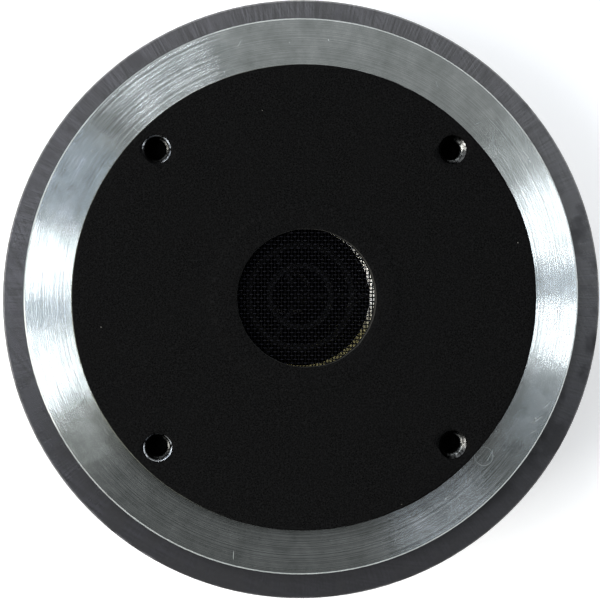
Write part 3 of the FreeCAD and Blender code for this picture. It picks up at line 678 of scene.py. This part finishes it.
# Black paint, deep and dull. On the weft the crowns are painted grey in patches as a painted highlight.
wire_finishes = []
for finish_name, crown_highlight_tint in (("black_painted_wire", "020203"), ("black_wire_painted_crown_highlight", "28282f")):
    painted_wire, tree, spot = new_finish(finish_name)
    height = add(tree, "SeparateXYZ", {0: spot}).outputs["Z"]
    crown = add(tree, "MapRange", {"Value": height, "From Min": 0.1 * MM, "From Max": 0.25 * MM})
    patchy = add(tree, "TexNoise", {"Vector": spot, "Scale": 1 / (0.9 * MM), "Detail": 2.0})
    # Painted highlight on the crowns, broken into patches.
    crown_highlight = add(tree, "Math", {0: crown, 1: patchy}, operation="MULTIPLY")
    wire_tint = add(tree, "Mix", {"Factor": crown_highlight, "A": colour("010102"), "B": colour(crown_highlight_tint)},
                    data_type="RGBA")
    wire_gloss = add(tree, "MapRange", {"Value": patchy, "To Min": 0.45, "To Max": 0.65})
    paint = add(tree, "BsdfPrincipled", {"Base Color": wire_tint, "Roughness": wire_gloss, "IOR": 1.5,
                                         "Specular IOR Level": 0.05})
    close_finish(tree, paint)
    wire_finishes.append(painted_wire)

screen_pieces = []
for name, spacing, crossed, upright in (("screen_warp", WARP_SPACING, WEFT_SPACING, True),
                                        ("screen_weft", WEFT_SPACING, WARP_SPACING, False)):
    painted_wire = wire_finishes[0 if upright else 1]
    points, faces = [], []
    wires = int(SCREEN_OPENING / spacing)
    for i in range(-wires, wires + 1):
        swing = 1 if (i % 2 == 0) == upright else -1
        wave_wire(i * spacing, crossed, swing, upright, points, faces)
    screen_pieces.append(add_piece(name, points, faces, painted_wire, "driver"))
rim_section = [(17.4, 0.2), (21.9, 0.2), (22.0, 0.1), (22.0, -0.2), (21.9, -0.28), (17.5, -0.28),
               (17.4, -0.2)]
rim_points = lathe_points(rim_section, RIM_STEPS)
rim_faces = [face[::-1] for face in lathe_grid(RIM_STEPS, len(rim_section))]
screen_pieces.append(add_piece("screen_rim", rim_points, rim_faces, painted_wire, "driver"))
for piece in screen_pieces:
    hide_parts("throat_screen")

# Mounting gasket: closed-cell black foam sheet, die cut with four bolt holes and the throat opening.
# Its skin is matt with a fine grain, its cut edge wanders a little, and it has picked up some lint.
GASKET_HOLE = 3.5 * MM
GASKET_STEPS = 720
CUTTER_STEPS = 72
OUTER_WANDER = (0.16, 0.07)
OUTER_WAVES = (2.5, 22)
OPENING_WANDER = 0.12
OPENING_WAVES = 5
FOAM_GRAIN = 0.42 * MM
LINT_SPACING = 2.6 * MM
THROAT_CUT_REACH = 18 * MM
CUT_LEAN = 0.42
gasket_section = [
    # radius and height of the sheet's section in mm, round from the throat's edge
    (16.7, 0.31), (16.7, 1.62), (16.82, 1.76), (17.0, 1.8), (18.5, 1.8), (20.0, 1.8), (21.4, 1.8),
    (22.2, 1.77), (22.8, 1.65), (23.4, 1.53), (24.2, 1.5), (27.0, 1.5), (31.0, 1.5), (36.0, 1.5),
    (41.0, 1.5), (46.0, 1.5), (51.0, 1.5), (54.5, 1.5), (56.0, 1.5), (56.34, 1.45), (56.5, 1.3),
    (56.5, 0.15), (56.4, 0.0), (50.0, 0.0), (40.0, 0.0), (30.0, 0.0), (22.25, 0.0), (22.2, 0.31),
]
gasket_points = []
for section_radius, section_height in gasket_section:
    for step in range(GASKET_STEPS):
        around = 2 * math.pi * step / GASKET_STEPS
        share = min(max((section_radius - 50.0) / 6.5, 0.0), 1.0)
        way = Vector((math.cos(around), math.sin(around), 0.0))
        wander = noise.noise(way * OUTER_WAVES[0]) * OUTER_WANDER[0]
        wander += noise.noise(way * OUTER_WAVES[1] + Vector((0, 0, 4))) * OUTER_WANDER[1]
        inner_share = min(max((17.2 - section_radius) / 0.5, 0.0), 1.0)
        ragged = noise.noise(way * OPENING_WAVES + Vector((0, 0, 9))) * OPENING_WANDER
        leaning = CUT_LEAN * max(math.cos(around), 0.0) * inner_share * min(section_height / 1.6, 1.0)
        reach = (section_radius + (wander - 0.08) * share + ragged * inner_share + leaning) * MM
        gasket_points.append((reach * math.cos(around), reach * math.sin(around), section_height * MM))
gasket_faces = [face[::-1] for face in lathe_grid(GASKET_STEPS, len(gasket_section))]

# Black foam skin: matt and grainy, dusted grey in patches, with a few bits of lint.
foam_skin, tree, spot = new_finish("black_closed_cell_foam")
cells = add(tree, "TexVoronoi", {"Vector": spot, "Scale": 1 / FOAM_GRAIN}, feature="F1")
pores = add(tree, "TexNoise", {"Vector": spot, "Scale": 1 / (0.3 * MM), "Detail": 3.0})
grain = add(tree, "Math", {0: cells, 1: 0.6, 2: pores}, operation="MULTIPLY_ADD")
patches = add(tree, "TexNoise", {"Vector": spot, "Scale": 1 / (11 * MM), "Detail": 3.0})
grain_share = add(tree, "MapRange", {"Value": grain, "From Min": 0.4, "From Max": 1.1})
foam_tint = add(tree, "Mix", {"Factor": grain_share, "A": colour("000000"), "B": colour("191919")},
                data_type="RGBA")
patch_share = add(tree, "MapRange", {"Value": patches, "From Min": 0.4, "From Max": 0.75,
                                     "To Max": 0.35})
dusted = add(tree, "Mix", {"Factor": patch_share, "A": foam_tint, "B": colour("131313")},
             data_type="RGBA")
lint_cells = add(tree, "TexVoronoi", {"Vector": spot, "Scale": 1 / LINT_SPACING}, feature="F1")
lint_pick = add(tree, "SeparateColor", {0: lint_cells.outputs["Color"]})
lint_chosen = add(tree, "Math", {0: lint_pick.outputs[0], 1: 0.93}, operation="GREATER_THAN")
lint_near = add(tree, "MapRange", {"Value": lint_cells.outputs["Distance"], "From Min": 0.035,
                                   "From Max": 0.06, "To Min": 1.0, "To Max": 0.0})
lint = add(tree, "Math", {0: lint_chosen, 1: lint_near}, operation="MULTIPLY")
lint_share = add(tree, "Math", {0: lint, 1: 0.6}, operation="MULTIPLY")
linted = add(tree, "Mix", {"Factor": lint_share, "A": dusted, "B": colour("a9a59c")},
             data_type="RGBA")
pitted = add(tree, "Bump", {"Height": grain, "Strength": 0.7, "Distance": 0.06 * MM})
# The cut edge at the throat is painted grey: partly its open cells, partly painted light on that wall.
facing = add(tree, "SeparateXYZ", {0: add(tree, "NewGeometry").outputs["Normal"]}).outputs["Z"]
cut_side = add(tree, "MapRange", {"Value": facing, "From Min": 0.75, "From Max": 0.55})
from_axis = add(tree, "VectorMath", {0: spot}, operation="LENGTH").outputs["Value"]
at_throat = add(tree, "Math", {0: from_axis, 1: THROAT_CUT_REACH}, operation="LESS_THAN")
cut_edge_light_share = add(tree, "Math", {0: cut_side, 1: at_throat}, operation="MULTIPLY")
linted = add(tree, "Mix", {"Factor": cut_edge_light_share, "A": linted, "B": colour("3e3e3c")}, data_type="RGBA")
foam = add(tree, "BsdfPrincipled", {"Base Color": linted, "Roughness": 0.85, "IOR": 1.45,
                                    "Specular IOR Level": 0.02, "Normal": pitted})
close_finish(tree, foam)

# The four bolt holes, punched through the sheet.
gasket = add_piece("foam_gasket", gasket_points, gasket_faces, foam_skin, "driver")
cutter_points, cutter_faces = [], []
for hole in range(4):
    angle = math.radians(45 + 90 * hole)
    first = len(cutter_points)
    for level in (-2 * MM, 4 * MM):
        for step in range(CUTTER_STEPS):
            around = 2 * math.pi * step / CUTTER_STEPS
            cutter_points.append((BOLT_CIRCLE * math.cos(angle) + GASKET_HOLE * math.cos(around),
                                  BOLT_CIRCLE * math.sin(angle) + GASKET_HOLE * math.sin(around), level))
    for step in range(CUTTER_STEPS):
        beside = (step + 1) % CUTTER_STEPS
        cutter_faces.append((first + step, first + beside, first + CUTTER_STEPS + beside,
                             first + CUTTER_STEPS + step))
    cutter_faces.append(tuple(range(first + CUTTER_STEPS - 1, first - 1, -1)))
    cutter_faces.append(tuple(range(first + CUTTER_STEPS, first + 2 * CUTTER_STEPS)))
cutter_mesh = bpy.data.meshes.new("hole_cutter")
cutter_mesh.from_pydata(cutter_points, [], cutter_faces)
cutter = bpy.data.objects.new("hole_cutter", cutter_mesh)
bpy.context.scene.collection.objects.link(cutter)
punch = gasket.modifiers.new("punch", "BOOLEAN")
punch.operation = "DIFFERENCE"
punch.object = cutter
bpy.context.view_layer.update()
punched = bpy.data.meshes.new_from_object(gasket.evaluated_get(bpy.context.evaluated_depsgraph_get()))
gasket.modifiers.remove(punch)
gasket.data = punched
bpy.data.objects.remove(cutter)
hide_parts("mounting_gasket")

# Rear gasket: a ring cut from black rubber sheet, held between the top plate and the rear cover.
# The rubber is matt, with a slight grey bloom.
sheet_rubber = clouded_finish("black_sheet_rubber", 2 * MM, 4.0, "141414", "242424",
                              {"Roughness": 0.7, "IOR": 1.5})
wear("rear_gasket", sheet_rubber)

# Rear cover: a die-cast aluminium cup with a black powder coat, which gives a fine even orange peel.
powder_coat, tree, spot = new_finish("black_powder_coat")
peel = add(tree, "TexNoise", {"Vector": spot, "Scale": 1 / (0.9 * MM), "Detail": 2.0})
cloudy = add(tree, "TexNoise", {"Vector": spot, "Scale": 1 / (25 * MM), "Detail": 3.0})
coat_tint = add(tree, "Mix", {"Factor": cloudy, "A": colour("1a1b1d"), "B": colour("26272a")},
                data_type="RGBA")
peeled = add(tree, "Bump", {"Height": peel, "Strength": 0.6, "Distance": 0.08 * MM})
coat_gloss = add(tree, "MapRange", {"Value": cloudy, "To Min": 0.42, "To Max": 0.55})
coat = add(tree, "BsdfPrincipled", {"Base Color": coat_tint, "Roughness": coat_gloss, "IOR": 1.5,
                                    "Normal": peeled})
close_finish(tree, coat)
wear("rear_cover", powder_coat)

# Foam pad on the floor of the rear cover: soft open-cell grey foam that damps the air behind the dome.
# It is cut by hand, so its edges are rounded and its top dips a little. Sizes in mm.
PAD_RADIUS = 50.5
PAD_FLOOR = -59.7
PAD_TOP = -56.2
PAD_STEPS = 180
pad_section = [(0.0, PAD_TOP - 0.05)]
pad_section += [(PAD_RADIUS * share, PAD_TOP - 0.05 - 0.12 * share)
                for share in (0.2, 0.4, 0.6, 0.75, 0.88)]
pad_section += [(49.6, PAD_TOP - 0.35), (50.3, PAD_TOP - 0.9), (50.5, PAD_TOP - 1.7),
                (50.4, PAD_FLOOR + 0.5), (50.0, PAD_FLOOR + 0.02), (25.0, PAD_FLOOR + 0.02),
                (0.0, PAD_FLOOR + 0.02)]
pad_points = [(0.0, 0.0, pad_section[0][1] * MM)]
for section_radius, section_height in pad_section[1:-1]:
    for step in range(PAD_STEPS):
        around = 2 * math.pi * step / PAD_STEPS
        way = Vector((math.cos(around), math.sin(around), 0.0))
        dent = noise.noise(way * section_radius * 0.09)
        lift = dent * 0.1 if section_height > PAD_FLOOR + 1 else 0.0
        pad_points.append((section_radius * MM * math.cos(around), section_radius * MM * math.sin(around),
                           (section_height + lift - 0.05) * MM if section_height > PAD_FLOOR + 1
                           else section_height * MM))
pad_points.append((0.0, 0.0, pad_section[-1][1] * MM))
pad_rings = len(pad_section) - 2
pad_faces = [face[::-1] for face in lathe_grid(PAD_STEPS, pad_rings, 1)[:(pad_rings - 1) * PAD_STEPS]]
last = len(pad_points) - 1
for step in range(PAD_STEPS):
    beside = (step + 1) % PAD_STEPS
    pad_faces.append((0, 1 + step, 1 + beside))
    base = 1 + (pad_rings - 1) * PAD_STEPS
    pad_faces.append((last, base + beside, base + step))
open_foam, tree, spot = new_finish("grey_open_cell_foam")
holes = add(tree, "TexVoronoi", {"Vector": spot, "Scale": 1 / (0.9 * MM)}, feature="F1")
hole_share = add(tree, "MapRange", {"Value": holes, "From Min": 0.15, "From Max": 0.6})
pad_tint = add(tree, "Mix", {"Factor": hole_share, "A": colour("1f2022"), "B": colour("4a4b4f")},
               data_type="RGBA")
pad_pits = add(tree, "Bump", {"Height": holes, "Strength": 0.9, "Distance": 0.4 * MM})
soft = add(tree, "BsdfPrincipled", {"Base Color": pad_tint, "Roughness": 0.95, "IOR": 1.45,
                                    "Specular IOR Level": 0.2, "Normal": pad_pits})
close_finish(tree, soft)
pad = add_piece("foam_pad", pad_points, pad_faces, open_foam, "driver")
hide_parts("damping_pad")

# Terminal base: a plain moulded block of dark glass-filled nylon, pushed into a window in the cover's
# side. It wears the same satin black as the phase plug.
wear("terminal_base", black_nylon)

# Table top under the driver: a white laminated board. It keeps the driver's soft shadow near it and
# clears to plain white farther out.
FLOOR_LEVEL = cad_box[0][2] - 0.02 * MM
FLOOR_HALF = 3.0
floor_points = [(x * FLOOR_HALF, y * FLOOR_HALF, FLOOR_LEVEL)
                for x, y in ((-1, -1), (1, -1), (1, 1), (-1, 1))]
floor_mesh = bpy.data.meshes.new("floor")
floor_mesh.from_pydata(floor_points, [], [(0, 1, 2, 3)])
floor = bpy.data.objects.new("floor", floor_mesh)
bpy.context.scene.collection.objects.link(floor)
white_top, tree, spot = new_finish("white_laminate")
path = add(tree, "LightPath")
laminate = add(tree, "BsdfPrincipled", {"Base Color": colour("f4f4f4"), "Roughness": 0.6})
from_middle = add(tree, "VectorMath", {0: spot}, operation="LENGTH").outputs["Value"]
lift_share = add(tree, "MapRange", {"Value": from_middle, "From Min": 0.16, "From Max": 0.7,
                                    "To Min": 0.42, "To Max": 1.0}, interpolation_type="SMOOTHSTEP")
lift = add(tree, "Emission", {"Color": (1, 1, 1, 1), "Strength": lift_share})
lifted = add(tree, "AddShader", {0: laminate, 1: lift})
seen = add(tree, "Math", {0: path.outputs["Is Camera Ray"], 1: path.outputs["Is Glossy Ray"]},
           operation="MAXIMUM")
top_mix = add(tree, "MixShader", {"Fac": seen, 1: laminate, 2: lifted})
close_finish(tree, top_mix)
floor_mesh.materials.append(white_top)

# Studio light: a white tent that is dim round the camera, and softboxes round it. Each softbox gives the
# turned land a pair of bright wedges; their places are read from the photograph's wedges.
world = bpy.data.worlds.new("white_tent")
bpy.context.scene.world = world
world.use_nodes = True
tree = world.node_tree
tree.nodes.clear()
direction = add(tree, "SeparateXYZ", {0: add(tree, "TexCoord").outputs["Generated"]})
overhead = add(tree, "MapRange", {"Value": direction.outputs["Z"], "From Min": 0.62, "From Max": 0.9,
                                  "To Min": 1.0, "To Max": 0.0}, interpolation_type="SMOOTHSTEP")
upwards = add(tree, "MapRange", {"Value": direction.outputs["Y"], "From Min": -0.14, "From Max": 0.18,
                                 "To Min": 0.0, "To Max": 0.66})
sideways = add(tree, "MapRange", {"Value": direction.outputs["Y"], "From Min": -0.6, "From Max": 0.6,
                                  "To Min": 0.0, "To Max": 0.66})
leftwards = add(tree, "MapRange", {"Value": direction.outputs["X"], "From Min": -0.7, "From Max": 0.7,
                                   "To Min": 1.3, "To Max": 0.2})
sideways = add(tree, "Math", {0: sideways, 1: leftwards}, operation="MULTIPLY")
top_light = add(tree, "Mix", {"Factor": overhead, "A": upwards, "B": sideways}, data_type="FLOAT")
behind_camera = add(tree, "Background", {"Color": colour("f4f6f7"), "Strength": top_light})
path = add(tree, "LightPath")
plain = add(tree, "Background", {"Color": (1, 1, 1, 1), "Strength": 1.0})
mixed = add(tree, "MixShader", {"Fac": path.outputs["Is Camera Ray"], 1: behind_camera, 2: plain})
add(tree, "OutputWorld", {"Surface": mixed})

SOFTBOX_DISTANCE = 0.9


def softbox(name, azimuth, from_zenith, wide, tall, radiance, tint):
    """An area light that faces the driver; its place and size are angles seen from the driver."""
    away = math.sin(math.radians(from_zenith)) * SOFTBOX_DISTANCE
    lamp = bpy.data.lights.new(name, "AREA")
    lamp.shape = "RECTANGLE"
    lamp.size = 2 * away * math.tan(math.radians(wide / 2))
    lamp.size_y = 2 * SOFTBOX_DISTANCE * math.tan(math.radians(tall / 2))
    lamp.energy = radiance * math.pi * lamp.size * lamp.size_y
    lamp.color = colour(tint)[:3]
    holder = bpy.data.objects.new(name, lamp)
    bpy.context.scene.collection.objects.link(holder)
    turn, fall = math.radians(azimuth), math.radians(from_zenith)
    out = Vector((math.sin(fall) * math.cos(turn), math.sin(fall) * math.sin(turn), math.cos(fall)))
    holder.location = out * SOFTBOX_DISTANCE
    holder.rotation_mode = "QUATERNION"
    holder.rotation_quaternion = (-out).to_track_quat("-Z", "Y")


# Azimuth, angle from the zenith, width and height in degrees, then radiance and tint.
SOFTBOXES = {
    "softbox_left_low": (202.5, 25, 18, 12, 14.0, "f2f8ff"),
    "softbox_left_high": (174.5, 25, 16, 12, 20.0, "f2f8ff"),
    "softbox_left_gap": (188, 25, 8, 12, 4.0, "cfe3ff"),
    "softbox_right_high": (10.7, 30, 16, 5, 26.0, "f4f9ff"),
    "softbox_right_low": (350.2, 30, 11, 5, 28.0, "f4f9ff"),
    "softbox_right_gap": (359.2, 30, 6, 5, 4.0, "cfe3ff"),
    "softbox_right_fade": (25, 30, 12, 5, 4.2, "eef4f8"),
    "softbox_right_fade_low": (336, 30, 14, 5, 2.2, "e2ebf6"),
    "softbox_lower_right": (309, 30, 20, 4, 2.6, "e2ebff"),
    "softbox_shoulder": (151, 27, 24, 8, 4.8, "c8ddfa"),
    "softbox_top_left": (117, 31, 27, 2.2, 46.0, "f4f8ff"),
    "softbox_lower_left": (220, 30, 14, 12, 1.5, "f6f6ee"),
    "softbox_side": (197, 61, 30, 20, 15.0, "fffaf2"),
}
for softbox_name, settings in SOFTBOXES.items():
    softbox(softbox_name, *settings)

# Camera: straight above the face, a few degrees to its left, as in the photograph.
CAMERA_DISTANCE = 500 * MM
AIM = Vector((-7.139, 1.717, 0.0)) * MM
LEAN_LEFT = math.radians(4.23)
LEAN_UP = math.radians(1.521)
ROLL = math.radians(-0.138)
WIDTH_AT_FACE = 145.386 * MM
camera_data = bpy.data.cameras.new("camera")
camera_data.sensor_width = 36
camera_data.lens = 36 * CAMERA_DISTANCE / WIDTH_AT_FACE
camera_data.clip_start = 0.01
camera_data.shift_x = 0.04
camera_data.shift_y = -0.015
camera = bpy.data.objects.new("camera", camera_data)
bpy.context.scene.collection.objects.link(camera)
back = Vector((-math.tan(LEAN_LEFT), math.tan(LEAN_UP), 1.0)).normalized()
camera.location = AIM + back * CAMERA_DISTANCE
side = Vector((0, 1, 0)).cross(back).normalized()
over = back.cross(side)
camera.rotation_mode = "QUATERNION"
turn = Matrix((side, over, back)).transposed().to_quaternion()
camera.rotation_quaternion = turn @ Quaternion((0, 0, 1), ROLL)
bpy.context.scene.camera = camera
bpy.context.scene.view_settings.view_transform = "Standard"
